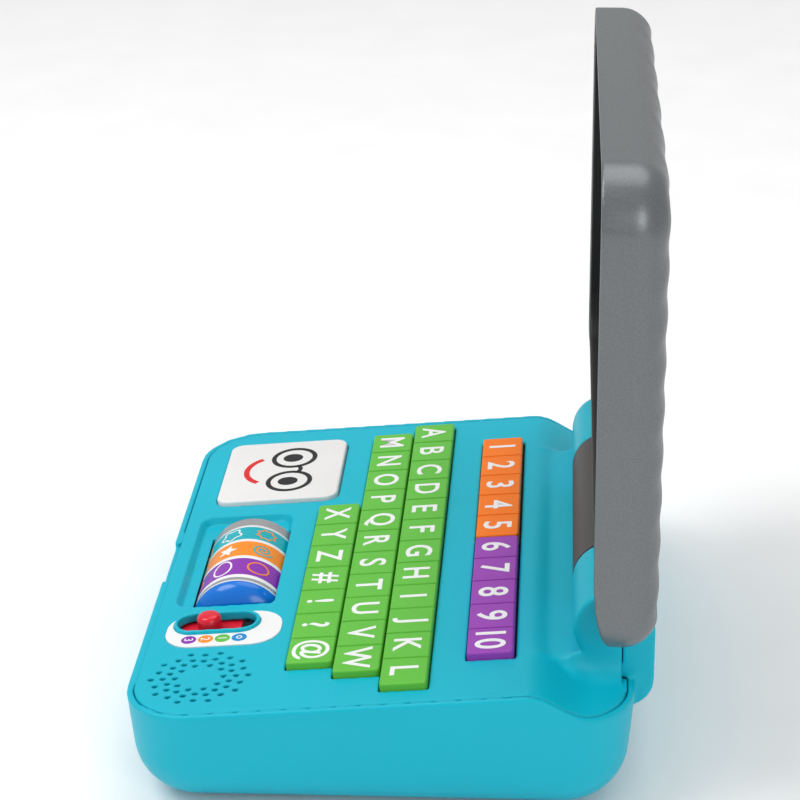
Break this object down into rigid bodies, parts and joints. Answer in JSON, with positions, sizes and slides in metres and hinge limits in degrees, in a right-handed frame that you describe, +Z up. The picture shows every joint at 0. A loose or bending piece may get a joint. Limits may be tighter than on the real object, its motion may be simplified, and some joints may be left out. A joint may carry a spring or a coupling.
{
  "type": "toy laptop computer",
  "caption": "Toy laptop: teal base with coloured key strips, picture button, spinning roller and mode slider, and a grey lid with a picture screen on a barrel hinge.",
  "frame": {"origin": "centre of the footprint box, at the level of the feet's soles", "axes": "+X to the user's right along the hinge, +Y from the user's edge to the hinge, +Z up"},
  "size_m": [0.267, 0.2064, 0.262],
  "materials": {
    "teal_plastic": "moulded, semi-gloss",
    "green_plastic": "moulded, semi-gloss",
    "orange_plastic": "moulded, semi-gloss",
    "purple_plastic": "moulded, semi-gloss",
    "red_plastic": "moulded, glossy",
    "white_plastic": "moulded, semi-gloss",
    "blue_plastic": "moulded, glossy",
    "printed_sleeve": "printed bands",
    "label_card": "printed label",
    "lid_grey": "metallic flake in plastic",
    "dark_plastic": "moulded, matt",
    "barrel_grey": "moulded, matt",
    "screen_print": "printed card",
    "clear_plastic": "clear",
    "rubber": "matt",
    "steel": "zinc plated",
    "board": "solder mask",
    "battery_jacket": "plain wrap"
  },
  "bodies": {
    "base": {"lower_housing": "teal_plastic", "deck_cover": "teal_plastic", "battery_door": "teal_plastic", "battery_door_screw": "steel", "battery_contact_left": "steel", "battery_contact_right": "steel", "hinge_pin_left": "steel", "hinge_pin_right": "steel", "key_membrane": "rubber", "circuit_board": "board", "face_button_pad": "rubber", "speaker_driver": "dark_plastic", "roller_cradle_left": "white_plastic", "roller_cradle_right": "white_plastic", "slider_label": "label_card", "foot_1": "rubber", "housing_screw_1": "steel", "foot_2": "rubber", "housing_screw_2": "steel", "foot_3": "rubber", "housing_screw_3": "steel", "foot_4": "rubber", "housing_screw_4": "steel", "battery_1": "battery_jacket", "battery_2": "battery_jacket", "battery_3": "battery_jacket"},
    "lid": {"lid_back_shell": "lid_grey", "lid_bezel": "dark_plastic", "screen_lens": "clear_plastic", "screen_card": "screen_print", "screen_backing_plate": "white_plastic", "hinge_barrel": "barrel_grey", "lid_screw_1": "steel", "lid_screw_2": "steel", "lid_screw_3": "steel", "lid_screw_4": "steel"},
    "roller": {"roller_core": "blue_plastic", "roller_sleeve": "printed_sleeve"},
    "mode_slider": {"mode_slider": "red_plastic"},
    "face_button": {"face_button": "white_plastic"},
    "number_keys_low": {"number_keys_low": "orange_plastic"},
    "number_keys_high": {"number_keys_high": "purple_plastic"},
    "letter_keys_top": {"letter_keys_top": "green_plastic"},
    "letter_keys_middle": {"letter_keys_middle": "green_plastic"},
    "letter_keys_bottom": {"letter_keys_bottom": "green_plastic"}
  },
  "joints": [
    {"name": "lid_hinge", "type": "hinge", "parent": "base", "child": "lid", "pos_m": [0, 0.0871, 0.0682], "axis": [1, 0, 0], "range_deg": [-12, 93]},
    {"name": "roller_spin", "type": "hinge", "parent": "base", "child": "roller", "pos_m": [0, -0.06826, 0.03318], "axis": [1, 0, 0], "continuous": true},
    {"name": "mode_slide", "type": "slide", "parent": "base", "child": "mode_slider", "axis": [0, 0.9965, 0.0837], "range_m": [-0.0069, 0.0138]},
    {"name": "face_button_press", "type": "slide", "parent": "base", "child": "face_button", "axis": [0, 0.0837, -0.9965], "range_m": [0, 0.0015], "stiffness_N_per_m": 400, "springref_m": -0.002},
    {"name": "number_keys_low_press", "type": "slide", "parent": "base", "child": "number_keys_low", "axis": [0, 0.0837, -0.9965], "range_m": [0, 0.002], "stiffness_N_per_m": 400, "springref_m": -0.002},
    {"name": "number_keys_high_press", "type": "slide", "parent": "base", "child": "number_keys_high", "axis": [0, 0.0837, -0.9965], "range_m": [0, 0.002], "stiffness_N_per_m": 400, "springref_m": -0.002},
    {"name": "letter_keys_top_press", "type": "slide", "parent": "base", "child": "letter_keys_top", "axis": [0, 0.0837, -0.9965], "range_m": [0, 0.002], "stiffness_N_per_m": 400, "springref_m": -0.002},
    {"name": "letter_keys_middle_press", "type": "slide", "parent": "base", "child": "letter_keys_middle", "axis": [0, 0.0837, -0.9965], "range_m": [0, 0.002], "stiffness_N_per_m": 400, "springref_m": -0.002},
    {"name": "letter_keys_bottom_press", "type": "slide", "parent": "base", "child": "letter_keys_bottom", "axis": [0, 0.0837, -0.9965], "range_m": [0, 0.002], "stiffness_N_per_m": 400, "springref_m": -0.002}
  ]
}
